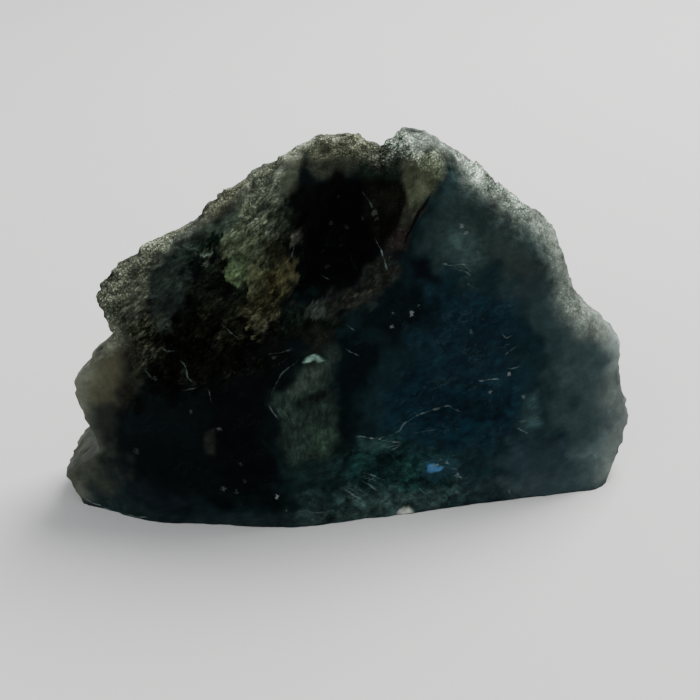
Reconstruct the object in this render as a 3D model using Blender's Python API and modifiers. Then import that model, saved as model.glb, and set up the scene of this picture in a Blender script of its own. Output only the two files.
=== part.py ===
"""A rough labradorite chunk: one broken stone that stands upright on a flat underside.

Metres, +Z up. The clean cleavage face looks towards -Y, the granular crust runs over the top, and
the broken back looks towards +Y. The origin is on the ground, in the middle of the stone's box.

The stone is made as a stone is: a slab with the chunk's outline is split along flat cleavage
planes, its fresh edges are worn, its faces are roughened, and it is set down on a flat base.
"""

import math

import bmesh
import bpy
from mathutils import Matrix, Vector

MM = 0.001

# Driving dimensions, in millimetres.
SLAB_DEPTH = 70.0  # before splitting, front to back
SLAB_BELOW_GROUND = 6.0  # stock under the base, removed when the base is cut
CUTTER_SIDE = 400.0  # larger than the stone in every direction
SHEET_THICKNESS = 20.0  # of a flaked-off sheet, more than any step is deep
WEAR_GRAIN = 1.9  # spacing of the worn surface, and about the radius of its edges
SWELL_SIZE, SWELL_HEIGHT = 24.0, 1.6  # broad hollows and swells over every face
CHIP_SIZE, CHIP_HEIGHT = 6.0, 0.8  # chips and small steps
KEPT_SHARE = 0.40  # of the triangles, once flat stretches are thinned out

# The chunk's outline seen square from the front, (x, z), from the left foot over the crown to the
# right foot: two lobes and two notches at the left, a shoulder, the crown, and the thin right end.
OUTLINE = (
    (-66.2, 0.0),
    (-68.0, 2.8),
    (-70.0, 7.0),
    (-67.2, 10.5),
    (-61.0, 15.5),
    (-62.6, 21.0),
    (-64.6, 25.6),
    (-65.6, 29.0),
    (-65.0, 32.3),
    (-61.0, 37.4),
    (-53.9, 43.5),
    (-56.3, 47.8),
    (-59.0, 52.4),
    (-55.2, 57.6),
    (-45.9, 63.7),
    (-37.8, 67.2),
    (-31.5, 71.5),
    (-24.8, 76.8),
    (-12.5, 84.2),
    (-8.0, 86.0),
    (0.0, 86.0),
    (6.8, 83.0),
    (10.2, 85.4),
    (13.2, 89.2),
    (20.5, 91.0),
    (24.8, 87.6),
    (28.2, 81.6),
    (32.5, 76.8),
    (42.5, 70.0),
    (48.0, 65.0),
    (50.5, 59.0),
    (51.7, 53.0),
    (55.3, 47.2),
    (59.9, 42.3),
    (64.5, 37.4),
    (67.2, 33.4),
    (67.0, 28.0),
    (68.5, 21.0),
    (71.2, 14.0),
    (67.9, 6.0),
    (65.1, 0.0),
)

# The cleavage planes, each by a point it passes through (x, y, z), the compass way it faces (0 is
# the front, 90 the right, 180 the back) and how far it leans back from upright, in degrees.
CLEAVAGES = {
    "front_right": ((0.0, -19.5, 0.0), 12, 11),
    "front_left": ((-20.0, -22.0, 0.0), -3, 9),
    "front_left_end": ((-47.0, -20.2, 0.0), -21, 8),
    "front_right_end": ((58.0, -9.0, 0.0), 36, 13),
    "front_shoulder": ((-20.0, -15.0, 43.0), -9, 24),
    "crown": ((8.0, 8.0, 87.9), 0, 76),
    "rim_right": ((33.0, 4.5, 71.5), 43, 40),
    "rim_left": ((-30.5, 3.0, 71.5), -40, 52),
    "back": ((0.0, 22.5, 12.0), 180, 3),
    "back_upper": ((8.0, 20.0, 50.0), 177, 13),
    "back_right": ((40.0, 18.5, 20.0), 166, 4),
    "back_right_upper": ((48.0, 16.0, 55.0), 160, 18),
    "back_left": ((-36.0, 15.5, 20.0), 199, 4),
    "back_left_upper": ((-45.0, 10.0, 52.0), 203, 20),
    "back_foot": ((0.0, 17.5, 0.0), 183, -38),
    "back_foot_right": ((45.0, 12.0, 0.0), 164, -30),
    "back_foot_left": ((-42.0, 8.5, 0.0), 205, -34),
}

# Steps where a sheet of the stone flaked off: the low floor is one plane, and the step's wall runs
# along a line on it. Each has a point on that line (x, y, z), the way its floor faces (compass and
# lean), the line's turn from upright on the floor, half the line's length, and the floor's width.
STEPS = {
    "fracture": ((14.5, -0.7, 69.0), 8.5, 13, 31, 40.0, 60.0),
    "flake_middle": ((-2.3, -12.9, 29.0), 16, 11, 183, 40.0, 40.0),
    "lobe_left": ((-54.5, -12.6, 31.0), -25, 9, 172, 60.0, 30.0),
    "margin_right": ((52.0, -2.4, 33.0), 16, 12, -8, 60.0, 40.0),
    "back_terrace_high": ((6.0, 17.8, 55.0), 175, 12, -62, 90.0, 70.0),
    "back_terrace_right": ((38.0, 16.6, 24.0), 158, 3, 24, 90.0, 60.0),
    "back_terrace_left": ((-38.0, 13.2, 28.0), 206, 5, -20, 60.0, 50.0),
}

# Shell-shaped scars left by smaller flakes: a point on the face (x, y, z), the way that face looks
# (compass and lean), the radius of the shell and how deep it bites.
SCARS = {
    "shoulder": ((-30.0, -11.3, 46.0), -9, 24, 26.0, 1.6),
    "shoulder_high": ((-22.0, -4.6, 66.0), -14, 30, 22.0, 1.2),
    "front_low_left": ((-38.0, -17.0, 17.0), -12, 9, 55.0, 0.9),
    "front_high_right": ((33.0, -1.2, 61.0), 16, 13, 60.0, 1.0),
    "rim_right": ((40.0, 9.0, 70.0), 40, 50, 16.0, 0.9),
    "rim_left": ((-38.0, 6.0, 67.0), -30, 60, 18.0, 0.9),
    "back_middle": ((-14.0, 21.6, 34.0), 184, 2, 40.0, 2.0),
    "back_right": ((30.0, 19.4, 40.0), 164, 8, 34.0, 1.8),
    "back_high": ((-10.0, 15.6, 68.0), 182, 16, 30.0, 1.8),
    "back_low_right": ((44.0, 16.4, 12.0), 166, 2, 24.0, 1.6),
    "back_low_left": ((-30.0, 17.0, 12.0), 198, 0, 28.0, 1.8),
    "end_left": ((-68.0, 0.0, 24.0), -90, 0, 12.0, 1.2),
    "end_right": ((69.0, 8.0, 26.0), 90, 0, 14.0, 1.2),
}

STONE_GREY = (0.045, 0.055, 0.055, 1.0)
STONE_ROUGHNESS = 0.55


def clear_scene():
    """Removes the startup scene's objects."""
    for old in list(bpy.data.objects):
        bpy.data.objects.remove(old, do_unlink=True)


def new_collection(name):
    made = bpy.data.collections.new(name)
    bpy.context.scene.collection.children.link(made)
    return made


def facing(compass, lean):
    """The outward direction of a plane that faces a compass way and leans back, in degrees."""
    turn, tip = math.radians(compass), math.radians(lean)
    return Vector(
        (math.sin(turn) * math.cos(tip), -math.cos(turn) * math.cos(tip), math.sin(tip))
    )


def outline_slab(collection):
    """The slab with the chunk's outline, standing in the XZ plane, as one closed mesh."""
    left_foot, right_foot = OUTLINE[0], OUTLINE[-1]
    stock = (
        (right_foot[0], -SLAB_BELOW_GROUND),
        (left_foot[0], -SLAB_BELOW_GROUND),
    )
    curve = bpy.data.curves.new("outline", "CURVE")
    curve.dimensions = "2D"
    curve.fill_mode = "BOTH"
    curve.extrude = SLAB_DEPTH / 2 * MM
    spline = curve.splines.new("POLY")
    corners = OUTLINE + stock
    spline.points.add(len(corners) - 1)
    for point, (x, z) in zip(spline.points, corners):
        point.co = (x * MM, z * MM, 0.0, 1.0)
    spline.use_cyclic_u = True
    flat = bpy.data.objects.new("outline", curve)
    flat.rotation_euler.x = math.radians(90)
    collection.objects.link(flat)
    bpy.context.view_layer.update()

    graph = bpy.context.evaluated_depsgraph_get()
    mesh = bpy.data.meshes.new_from_object(flat.evaluated_get(graph))
    shape = bmesh.new()
    shape.from_mesh(mesh)
    bmesh.ops.remove_doubles(shape, verts=shape.verts, dist=0.01 * MM)
    bmesh.ops.recalc_face_normals(shape, faces=shape.faces)
    shape.to_mesh(mesh)
    shape.free()
    slab = bpy.data.objects.new("labradorite_stone", mesh)
    slab.matrix_world = flat.matrix_world
    collection.objects.link(slab)
    bpy.data.objects.remove(flat)
    return slab


def half_space(name, through, outward, collection):
    """A large block that fills everything outside a plane, to cut the stone with."""
    side = CUTTER_SIDE * MM
    mesh = bpy.data.meshes.new("cutter_" + name)
    shape = bmesh.new()
    bmesh.ops.create_cube(shape, size=side)
    shape.to_mesh(mesh)
    shape.free()
    block = bpy.data.objects.new("cutter_" + name, mesh)
    block.location = Vector(through) * MM + outward * (side / 2)
    block.rotation_euler = outward.to_track_quat("Z", "Y").to_euler()
    block.hide_render = True
    block.display_type = "WIRE"
    collection.objects.link(block)
    return block


def flaked_sheet(name, through, compass, lean, turn, half_length, width, collection):
    """The sheet that flaked off above a low floor, up to the wall that it left standing."""
    outward = facing(compass, lean)
    level = Vector((0.0, 0.0, 1.0)).cross(outward).normalized()
    uphill = outward.cross(level)
    tilt = math.radians(turn)
    along = uphill * math.cos(tilt) + level * math.sin(tilt)
    across = along.cross(outward)
    size = Vector((2 * half_length, width, SHEET_THICKNESS)) * MM
    middle = Vector(through) * MM + across * size.y / 2 + outward * size.z / 2
    frame = Matrix((along, across * -1.0, outward)).transposed().to_4x4()
    mesh = bpy.data.meshes.new("cutter_" + name)
    shape = bmesh.new()
    bmesh.ops.create_cube(shape, size=1.0)
    bmesh.ops.scale(shape, vec=size, verts=shape.verts)
    shape.to_mesh(mesh)
    shape.free()
    sheet = bpy.data.objects.new("cutter_" + name, mesh)
    sheet.matrix_world = Matrix.Translation(middle) @ frame
    sheet.hide_render = True
    sheet.display_type = "WIRE"
    collection.objects.link(sheet)
    return sheet


def shell(name, through, compass, lean, radius, bite, collection):
    """A ball that dips into a face by the depth of its bite, to leave a shell-shaped scar."""
    mesh = bpy.data.meshes.new("cutter_scar_" + name)
    shape = bmesh.new()
    bmesh.ops.create_icosphere(shape, subdivisions=5, radius=radius * MM)
    shape.to_mesh(mesh)
    shape.free()
    ball = bpy.data.objects.new("cutter_scar_" + name, mesh)
    ball.location = (Vector(through) + facing(compass, lean) * (radius - bite)) * MM
    ball.hide_render = True
    ball.display_type = "WIRE"
    collection.objects.link(ball)
    return ball


def split(stone, cutter):
    """Takes the cutter's half space off the stone."""
    cut = stone.modifiers.new(cutter.name, "BOOLEAN")
    cut.operation = "DIFFERENCE"
    cut.solver = "EXACT"
    cut.object = cutter


def wear(stone):
    """Rounds the fresh edges by meshing the stone anew at an even spacing."""
    worn = stone.modifiers.new("wear", "REMESH")
    worn.mode = "VOXEL"
    worn.voxel_size = WEAR_GRAIN * MM
    worn.use_smooth_shade = True
    softened = stone.modifiers.new("soften", "SMOOTH")
    softened.factor = 0.5
    softened.iterations = 1


def roughen(stone, name, pattern, size, height):
    """Pushes the surface in and out by a three-dimensional pattern of this size and height."""
    texture = bpy.data.textures.new(name, pattern)
    texture.noise_scale = size * MM
    rough = stone.modifiers.new(name, "DISPLACE")
    rough.texture = texture
    rough.texture_coords = "LOCAL"
    rough.strength = height * MM
    rough.mid_level = 0.5


def thin_out(stone):
    """Leaves fewer, larger triangles where the stone is flat."""
    fewer = stone.modifiers.new("thin_out", "DECIMATE")
    fewer.ratio = KEPT_SHARE


def stone_material():
    material = bpy.data.materials.new("labradorite")
    material.use_nodes = True
    shader = material.node_tree.nodes["Principled BSDF"]
    shader.inputs["Base Color"].default_value = STONE_GREY
    shader.inputs["Roughness"].default_value = STONE_ROUGHNESS
    shader.inputs["Metallic"].default_value = 0.0
    return material


def build():
    clear_scene()
    pieces = new_collection("labradorite_chunk")
    cutters = new_collection("cutters")

    stone = outline_slab(pieces)
    for name, (through, compass, lean) in CLEAVAGES.items():
        split(stone, half_space(name, through, facing(compass, lean), cutters))
    for name, step in STEPS.items():
        split(stone, flaked_sheet(name, *step, cutters))
    for name, scar in SCARS.items():
        split(stone, shell(name, *scar, cutters))
    wear(stone)
    roughen(stone, "swells", "CLOUDS", SWELL_SIZE, SWELL_HEIGHT)
    roughen(stone, "chips", "CLOUDS", CHIP_SIZE, CHIP_HEIGHT)
    thin_out(stone)
    split(stone, half_space("base", (0.0, 0.0, 0.0), Vector((0.0, 0.0, -1.0)), cutters))
    stone.data.materials.append(stone_material())


build()
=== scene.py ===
# %% [markdown]
# # A rough labradorite chunk
#
# Labradorite is a feldspar. It splits along flat planes, so a broken lump has glassy, dark,
# blue-green faces that meet at crisp edges. Where it is thick it looks almost black. Where it
# thins out at its ends, light gets through and it turns a cloudy grey-olive. Its old outside is a
# pale, sugary crust. This lesson builds one such stone as a single closed surface worked out with
# numpy, and finishes it with one material made of nodes.

# %% Load the frame that the stone is built around
import math

import bpy
import numpy as np
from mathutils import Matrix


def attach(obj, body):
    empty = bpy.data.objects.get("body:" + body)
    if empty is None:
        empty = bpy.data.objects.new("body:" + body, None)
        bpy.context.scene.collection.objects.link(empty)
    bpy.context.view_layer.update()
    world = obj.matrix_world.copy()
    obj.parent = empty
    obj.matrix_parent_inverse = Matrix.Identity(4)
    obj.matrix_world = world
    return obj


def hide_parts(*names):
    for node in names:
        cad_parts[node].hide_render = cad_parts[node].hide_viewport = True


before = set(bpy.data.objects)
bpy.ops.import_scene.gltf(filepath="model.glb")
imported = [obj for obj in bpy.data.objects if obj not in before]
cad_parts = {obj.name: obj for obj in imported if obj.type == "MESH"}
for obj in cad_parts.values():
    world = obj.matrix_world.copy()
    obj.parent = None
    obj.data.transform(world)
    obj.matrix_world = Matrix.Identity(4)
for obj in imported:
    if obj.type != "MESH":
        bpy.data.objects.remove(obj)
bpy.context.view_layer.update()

MM = 0.001

# %% [markdown]
# ## The camera and the studio
#
# The stone is seen from the front and from above, as on a table. A long lens far away would
# flatten it, and a wide one would swell its foot, so the lens and the distance are set together.
# The light is a broad soft one from above, behind and to the right. It whitens the crust on the
# crown and the right shoulder, and leaves the front face in its own dark colour.

# %% Camera
VIEW_DOWN = math.radians(29)
VIEW_DISTANCE = 278 * MM
AIM_HEIGHT = 36.3 * MM
LENS, SENSOR = 59.14, 36.0  # the lens's own millimetres

camera_data = bpy.data.cameras.new("camera")
camera_data.lens = LENS
camera_data.sensor_width = SENSOR
camera = bpy.data.objects.new("camera", camera_data)
camera.location = (
    0.0,
    -VIEW_DISTANCE * math.cos(VIEW_DOWN),
    AIM_HEIGHT + VIEW_DISTANCE * math.sin(VIEW_DOWN),
)
camera.rotation_euler = (math.pi / 2 - VIEW_DOWN, 0.0, 0.0)
camera_data.clip_start = 0.01
bpy.context.scene.collection.objects.link(camera)
bpy.context.scene.camera = camera
print("camera", VIEW_DISTANCE, "m away, looking down", round(math.degrees(VIEW_DOWN)), "degrees")

# %% Floor
FLOOR_SIDE = 6.0
FLOOR_COLOR = (0.66, 0.65, 0.64, 1.0)

bpy.ops.mesh.primitive_plane_add(size=FLOOR_SIDE)
floor = bpy.context.object
floor.name = "floor"
paper = bpy.data.materials.new("pale_paper")
paper.use_nodes = True
paper_inputs = paper.node_tree.nodes["Principled BSDF"].inputs
paper_inputs["Base Color"].default_value = FLOOR_COLOR
paper_inputs["Roughness"].default_value = 0.9
paper_inputs["Specular IOR Level"].default_value = 0.1
floor.data.materials.append(paper)
print("floor", FLOOR_SIDE, "m on each side")

# %% Light
SKY_COLOR, SKY_STRENGTH = (0.92, 0.96, 1.0, 1.0), 0.55
LIGHT_AIM = (0.0, 0.0, 0.04)


def soft_light(name, place, side, watts):
    """A square light of this side that looks from its place at the middle of the stone."""
    data = bpy.data.lights.new(name, "AREA")
    data.size = side
    data.energy = watts
    light = bpy.data.objects.new(name, data)
    light.location = place
    look = np.subtract(LIGHT_AIM, place)
    light.rotation_euler = (
        math.atan2(math.hypot(look[0], look[1]), -look[2]),
        0.0,
        math.atan2(look[1], look[0]) - math.pi / 2,
    )
    bpy.context.scene.collection.objects.link(light)


soft_light("light_above_behind", (0.42, 0.50, 0.90), 0.6, 24.0)
soft_light("light_front_left", (-0.7, -0.9, 0.9), 0.8, 5.0)
world = bpy.data.worlds.new("studio")
world.use_nodes = True
sky_inputs = world.node_tree.nodes["Background"].inputs
sky_inputs["Color"].default_value = SKY_COLOR
sky_inputs["Strength"].default_value = SKY_STRENGTH
bpy.context.scene.world = world
print("lights:", ", ".join(light.name for light in bpy.data.lights), "and a pale sky")

# %% [markdown]
# ## Noise, made with whole arrays
#
# Nothing on a broken stone is even, so most of its shape is noise of several sizes. Blender has
# noise textures, but here the same noise must move points and tint them, so it is written in
# numpy. Each corner of a lattice gets a steady pseudo-random number, and a point blends the eight
# corners around it. A second kind finds the nearest of scattered seeds, which makes sugary grains.


# %% Two kinds of noise
def scramble(cell, seed):
    """A steady number from 0 to 1 for whole-number cells: products and shifts that mix the bits."""
    mixed = cell[..., 0] * 374761393 + cell[..., 1] * 668265263 + cell[..., 2] * 1274126177
    mixed = (mixed + seed * 974634777) & 0xFFFFFFFF
    mixed = ((mixed ^ (mixed >> 13)) * 1274126177) & 0xFFFFFFFF
    mixed = ((mixed ^ (mixed >> 16)) * 2246822519) & 0xFFFFFFFF
    return (mixed ^ (mixed >> 15)) / 0xFFFFFFFF


def ramp(value, low, high):
    """0 below low, 1 above high, and a smooth s-curve between them."""
    share = np.clip((value - low) / (high - low), 0.0, 1.0)
    return share * share * (3 - 2 * share)


def swell(points, size, seed):
    """Lattice noise from -1 to 1: the eight corner numbers, blended by an s-curve on each axis."""
    scaled = points / size
    cell = np.floor(scaled).astype(np.int64)
    part = scaled - cell
    part = part * part * part * (part * (part * 6 - 15) + 10)
    total = 0.0
    for corner in np.ndindex(2, 2, 2):
        weight = np.prod(np.where(corner, part, 1 - part), axis=-1)
        total = total + weight * scramble(cell + np.array(corner), seed)
    return 2 * total - 1


def rough(points, size, seed, octaves=4, gain=0.5):
    """Noise on noise: each octave is half the size of the last and this share of its height."""
    total, height = 0.0, 1.0
    for octave in range(octaves):
        total = total + height * swell(points, size / 2**octave, seed + octave)
        height *= gain
    return total


def grains(points, size, seed):
    """For each point: the distances to the two nearest scattered seeds, and the number of the
    nearest seed and the way to it. All lengths are in cells of this size.
    """
    scaled = points / size
    cell = np.floor(scaled).astype(np.int64)
    first = np.full(len(points), 9.0)
    second = first.copy()
    number = np.zeros(len(points))
    away = np.zeros((len(points), 3))
    for near in np.ndindex(3, 3, 3):
        home = cell + np.array(near) - 1
        place = home + np.stack([scramble(home, seed + axis) for axis in range(3)], axis=-1)
        distance = np.linalg.norm(place - scaled, axis=-1)
        closer = distance < first
        second = np.where(closer, first, np.minimum(second, distance))
        number = np.where(closer, scramble(home, seed + 3), number)
        away = np.where(closer[:, None], place - scaled, away)
        first = np.where(closer, distance, first)
    return first, second, number, away


print("noise at the origin:", round(float(rough(np.zeros((1, 3)) + 0.3, 1.0, 7)[0]), 3))

# %% [markdown]
# ## The stone's planes and outline
#
# A feldspar lump is the space inside a few flat splits. Each split is a point it passes through,
# the compass way it faces and how far it leans back. Seen from the front, the lump also has an
# outline with lobes and notches, which works as one more wall, square to the view. All lengths
# here are in millimetres, and become metres only in the finished mesh.

# %% Cleavage planes and outline, in millimetres
SPLITS = {
    "front_right": ((0.0, -19.5, 0.0), 12, 11),
    "front_left": ((-20.0, -22.0, 0.0), -3, 9),
    "front_left_end": ((-47.0, -20.2, 0.0), -21, 8),
    "front_right_end": ((58.0, -9.0, 0.0), 36, 13),
    "front_shoulder": ((-20.0, -15.0, 43.0), -9, 24),
    "crown": ((8.0, 8.0, 87.9), 0, 76),
    "rim_right": ((33.0, 4.5, 71.5), 43, 40),
    "rim_left": ((-30.5, 3.0, 71.5), -40, 52),
    "back": ((0.0, 22.5, 12.0), 180, 3),
    "back_upper": ((8.0, 20.0, 50.0), 177, 13),
    "back_right": ((40.0, 18.5, 20.0), 166, 4),
    "back_right_upper": ((48.0, 16.0, 55.0), 160, 18),
    "back_left": ((-36.0, 15.5, 20.0), 199, 4),
    "back_left_upper": ((-45.0, 10.0, 52.0), 203, 20),
    "back_foot": ((0.0, 17.5, 0.0), 183, -38),
    "back_foot_right": ((45.0, 12.0, 0.0), 164, -30),
    "back_foot_left": ((-42.0, 8.5, 0.0), 205, -34),
}
MIDDLE = (0.0, 38.0)
OUTLINE = np.array(
    [
        (-65.0, -2.0), (-68.0, 2.8), (-70.0, 7.0), (-67.2, 10.5), (-61.0, 15.5),
        (-62.6, 21.0), (-64.6, 25.6), (-65.6, 29.0), (-65.0, 32.3), (-61.0, 37.4),
        (-53.9, 43.5), (-56.3, 47.8), (-59.0, 52.4), (-55.2, 57.6), (-45.9, 63.7),
        (-37.8, 67.2), (-31.5, 71.5), (-24.8, 76.8), (-12.5, 84.2), (-8.0, 86.0),
        (0.0, 86.0), (6.8, 83.0), (10.2, 85.4), (13.2, 89.2), (20.5, 91.0),
        (24.8, 87.6), (28.2, 81.6), (32.5, 76.8), (42.5, 70.0), (48.0, 65.0),
        (50.5, 59.0), (51.7, 53.0), (55.3, 47.2), (59.9, 42.3), (64.5, 37.4),
        (67.2, 33.4), (67.0, 28.0), (68.5, 21.0), (71.2, 14.0), (67.9, 6.0),
        (64.2, -2.0),
    ]
)  # fmt: skip


def facing(compass, lean):
    """The outward direction of a plane: 0 faces the front, 90 the right, and it leans back."""
    turn, tip = math.radians(compass), math.radians(lean)
    flat = math.cos(tip)
    return np.array((math.sin(turn) * flat, -math.cos(turn) * flat, math.sin(tip)))


split_ways = np.array([facing(compass, lean) for _, compass, lean in SPLITS.values()])
split_offsets = np.array(
    [np.dot(facing(compass, lean), through) for through, compass, lean in SPLITS.values()]
)

# The outline as a radius for each direction from its middle: a straight edge is sampled finely
# between its corners first, so that it stays straight.
steps = np.linspace(0, 1, 12, endpoint=False)[:, None, None]
edges = OUTLINE[None] * (1 - steps) + np.roll(OUTLINE, -1, axis=0)[None] * steps
edges = edges.transpose(1, 0, 2).reshape(-1, 2) - MIDDLE
edge_turns = np.arctan2(edges[:, 1], edges[:, 0])
edge_order = np.argsort(edge_turns)
edge_turns = edge_turns[edge_order]
edge_reaches = np.hypot(edges[:, 0], edges[:, 1])[edge_order]


def outline_reach(turn):
    """How far the outline is from its middle in a direction."""
    return np.interp(turn, edge_turns, edge_reaches, period=2 * math.pi)


END_WANDER = 0.02  # radians that the lobes of both ends wander as they run back
END_SLOPE = 0.15  # how fast both ends draw in towards the back


def rim_distance(points):
    """How far inside the outline a point is, along the line from the middle."""
    away = points[:, [0, 2]] - MIDDLE
    x, y, z = points.T
    run_back = y - 0.1 * x
    at_end = ramp(np.abs(x), 30, 50) * ramp(run_back, 0, 12)
    turn = np.arctan2(away[:, 1], away[:, 0]) + END_WANDER * at_end * np.sin(y / 5 + z / 9)
    drawn_in = END_SLOPE * at_end * np.clip(run_back + 2, 0, None)
    return outline_reach(turn) - drawn_in - np.hypot(away[:, 0], away[:, 1])


print(len(SPLITS), "splits, and an outline", np.ptp(OUTLINE, axis=0), "mm wide and high")

# %% [markdown]
# ## From planes to a surface
#
# The distance outside the stone is the largest of the distances outside its planes. A soft
# maximum, the logarithm of summed exponentials, rounds the edge between two planes as wear does.
# The surface is found by shooting rays outwards from a thin sheet inside the stone and halving
# each ray until it crosses from inside to outside. A box-shaped grid of rays covers every side
# with even cells and has no poles.

# %% The rays
GRID = (228, 36, 154)  # cells along x, y and z
SHEET_SHARE = 0.85  # how far towards the outline the inner sheet reaches
SHEET_SLOPE = (4.5, 0.066, 0.095)  # the sheet's y: at the middle, per x and per z
RAY_DEPTH = 24.0
SIDE_BUNCHING = 1.6  # draws the cells of the sides towards the thin edge
HALF_WIDE, HALF_HIGH = 70, 50  # of the box whose square ring of rays is bent to the outline


def box_grid(cells):
    """Numbers the points on the skin of a box of cells, and lists its squares, facing out."""
    number = np.full(np.add(cells, 1), -1)
    skin = np.ones(number.shape, bool)
    skin[1:-1, 1:-1, 1:-1] = False
    number[skin] = np.arange(skin.sum())
    places = np.argwhere(skin) / cells * 2 - 1
    squares = []
    for axis in range(3):
        for end in (0, -1):
            sheet = np.take(number, end, axis=axis)
            corners = (sheet[:-1, :-1], sheet[1:, :-1], sheet[1:, 1:], sheet[:-1, 1:])
            square = np.stack(corners, axis=-1).reshape(-1, 4)
            turned = (axis == 1) == (end == -1)
            squares.append(square[:, ::-1] if turned else square)
    return places, np.concatenate(squares)


def sheet_depth(x, z):
    """The y of the inner sheet, a plane that leans with the stone."""
    return SHEET_SLOPE[0] + SHEET_SLOPE[1] * x + SHEET_SLOPE[2] * (z - MIDDLE[1])


places, squares = box_grid(GRID)
ring = np.maximum(np.abs(places[:, 0]), np.abs(places[:, 2]))
turn = np.arctan2(places[:, 2] * HALF_HIGH, places[:, 0] * HALF_WIDE)
out_x = ring * outline_reach(turn) * np.cos(turn)
out_z = ring * outline_reach(turn) * np.sin(turn)
lift = np.sign(places[:, 1]) * np.abs(places[:, 1]) ** SIDE_BUNCHING
start_x, start_z = out_x * SHEET_SHARE, out_z * SHEET_SHARE + MIDDLE[1]
start = np.stack([start_x, sheet_depth(start_x, start_z), start_z], axis=-1)
left_over = 1 - SHEET_SHARE
reach = np.stack([out_x * left_over, lift * RAY_DEPTH, out_z * left_over], axis=-1)
print(len(places), "rays,", 2 * len(squares), "triangles")

# %% Find where each ray leaves the stone
OUTLINE_WEAR = 0.3  # millimetres: the larger, the rounder the edges
FACE_WEAR = (0.3, 1.3)  # between the planes, at the foot and at the crown
HALVINGS = 26
LONGEST_RAY = 4.0  # in lengths of each ray's reach
SQUARE_SHARE = 0.9  # makes a distance along the radius about square to the outline
NUDGE = 0.4  # millimetres to each side when a slope is measured


def soft_top(walls, wear):
    """The soft maximum of each row: the logarithm of its summed exponentials, scaled by wear."""
    top = walls.max(axis=1)
    return top + wear * np.log(np.exp((walls - top[:, None]) / wear[:, None]).sum(axis=1))


def outside(points):
    """How far outside the planes, and then outside the outline, each point is."""
    wear = FACE_WEAR[0] + (FACE_WEAR[1] - FACE_WEAR[0]) * ramp(points[:, 2], 40, 75)
    planes = soft_top(points @ split_ways.T - split_offsets, wear)
    both = np.column_stack([planes, -rim_distance(points) * SQUARE_SHARE])
    return soft_top(both, np.full(len(points), OUTLINE_WEAR))


low, high = np.zeros(len(start)), np.full(len(start), LONGEST_RAY)
for _ in range(HALVINGS):
    half = (low + high) / 2
    beyond = outside(start + reach * half[:, None]) > 0
    high = np.where(beyond, half, high)
    low = np.where(beyond, low, half)
base = start + reach * high[:, None]


def outward(points):
    """The direction in which the distance outside grows fastest, by small differences."""
    slopes = [
        outside(points + NUDGE * axis) - outside(points - NUDGE * axis) for axis in np.eye(3)
    ]
    way = np.stack(slopes, axis=-1)
    return way / np.linalg.norm(way, axis=-1, keepdims=True)


normals = outward(base)
print("smooth stone:", base.min(axis=0).round(1), "to", base.max(axis=0).round(1), "mm")

# %% [markdown]
# ## The sides of the stone
#
# Each part of the surface is told apart once, and both its relief and its colour use that. The
# split face, the broken back and the rim between them come from which way the surface looks. How
# thick the stone is behind a point tells how much light gets through it. A path tracer could send
# real light through the stone, but that is slow and noisy for a body this dark, and a colour laid
# on the points can be carried to any other program.

# %% Front, back, rim and thickness
FRONT_FROM, FRONT_FULL = 0.45, 0.8  # how far a normal has to look to the front
BACK_FROM, BACK_FULL = 0.15, 0.6
THICK_DARK, THIN_LIGHT = 24, 7  # millimetres of stone that stop the light, or let it all through

x, y, z = base.T
front = ramp(-normals[:, 1], FRONT_FROM, FRONT_FULL)
back = ramp(normals[:, 1], BACK_FROM, BACK_FULL)
rim = np.clip(1 - front - back, 0, 1) * ramp(z, 1.0, 6.0)
inside_rim = rim_distance(base)


def wall_depth(side):
    """The y of the nearest front (-1) or back (1) split behind each point."""
    faces = split_ways[:, 1] * side > 0.2
    ways, offsets = split_ways[faces], split_offsets[faces]
    depth = (offsets - np.outer(x, ways[:, 0]) - np.outer(z, ways[:, 2])) / ways[:, 1]
    return depth.min(axis=1) if side > 0 else depth.max(axis=1)


thickness = np.clip(wall_depth(1) - wall_depth(-1), 0, None)
near_rim = ramp(-inside_rim, -THIN_LIGHT, 0)
thin = np.clip(ramp(-thickness, -THICK_DARK, -THIN_LIGHT) + 0.8 * near_rim, 0, 1)
print("thickness from", thickness.min().round(1), "to", thickness.max().round(1), "mm")

# %% [markdown]
# ## Zones with wavy or broken edges
#
# The colours of a feldspar drift from one to the next. Each zone is a polygon on the front, in
# millimetres across and up. Its mask is 1 inside and 0 outside, over a soft edge, and the points
# are pushed about by noise before they are tested, so that no straight side is left. On the
# broken corner every point is also moved to the middle of its own broken plane, so that a whole
# plane takes one colour and the edges between the zones run along the planes' edges.

# %% Noise that bends the zones, and the planes of the broken corner
LEAN, DRAWN_OUT = math.radians(48), 0.5
PLANE = 2.2  # width of the broken planes, which are longer the way they lean

broad_x, broad_z = rough(base, 13.0, 40, 3), rough(base, 13.0, 45, 3)
mid_x, mid_z = rough(base, 5.0, 57, 3), rough(base, 5.0, 59, 3)
fine_x, fine_z = rough(base, 2.6, 50, 3), rough(base, 2.6, 55, 3)

bent = base + 0.7 * np.stack([fine_x, fine_z, fine_x - fine_z], axis=-1)
cos_lean, sin_lean = math.cos(LEAN), math.sin(LEAN)
drawn = np.stack(
    [
        DRAWN_OUT * (bent[:, 0] * cos_lean + bent[:, 2] * sin_lean),
        bent[:, 1],
        bent[:, 2] * cos_lean - bent[:, 0] * sin_lean,
    ],
    axis=-1,
)
planes = grains(drawn, PLANE, 35)
leap_long, leap_wide = planes[3][:, 0] * PLANE / DRAWN_OUT, planes[3][:, 2] * PLANE
print("broken planes", PLANE, "mm wide and", PLANE / DRAWN_OUT, "mm long")

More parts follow.
